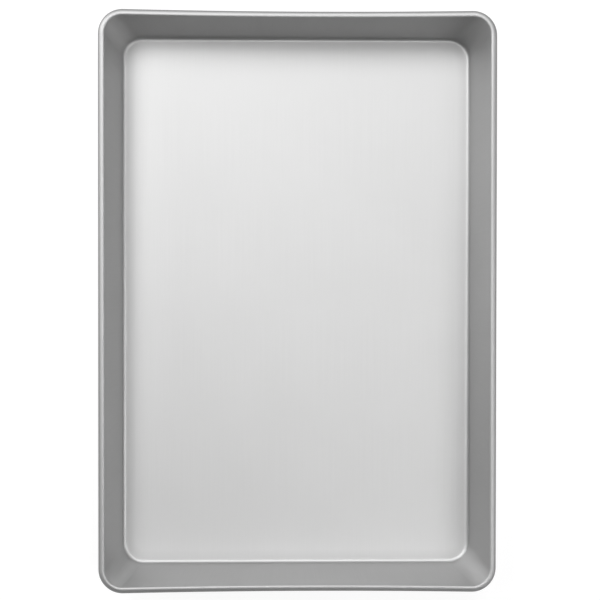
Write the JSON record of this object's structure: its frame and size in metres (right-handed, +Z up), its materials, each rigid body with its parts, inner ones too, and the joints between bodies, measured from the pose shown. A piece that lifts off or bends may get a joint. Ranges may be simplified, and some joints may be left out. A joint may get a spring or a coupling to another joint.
{
  "type": "sheet cake pan",
  "caption": "Rectangular sheet cake pan with outward-leaning walls, rounded corners and a rim rolled over a steel wire, drawn from satin aluminium sheet.",
  "frame": {"origin": "middle of the flat underside, on the surface that the pan stands on", "axes": "+Z up out of the mouth, +Y along the pan's length, +X across its width"},
  "size_m": [0.3158, 0.4618, 0.0508],
  "materials": {
    "satin_aluminium": "satin",
    "zinced_steel": "zinc-coated drawn wire"
  },
  "bodies": {
    "root": {"pan_body": "satin_aluminium", "rim_wire": "zinced_steel"}
  },
  "joints": []
}
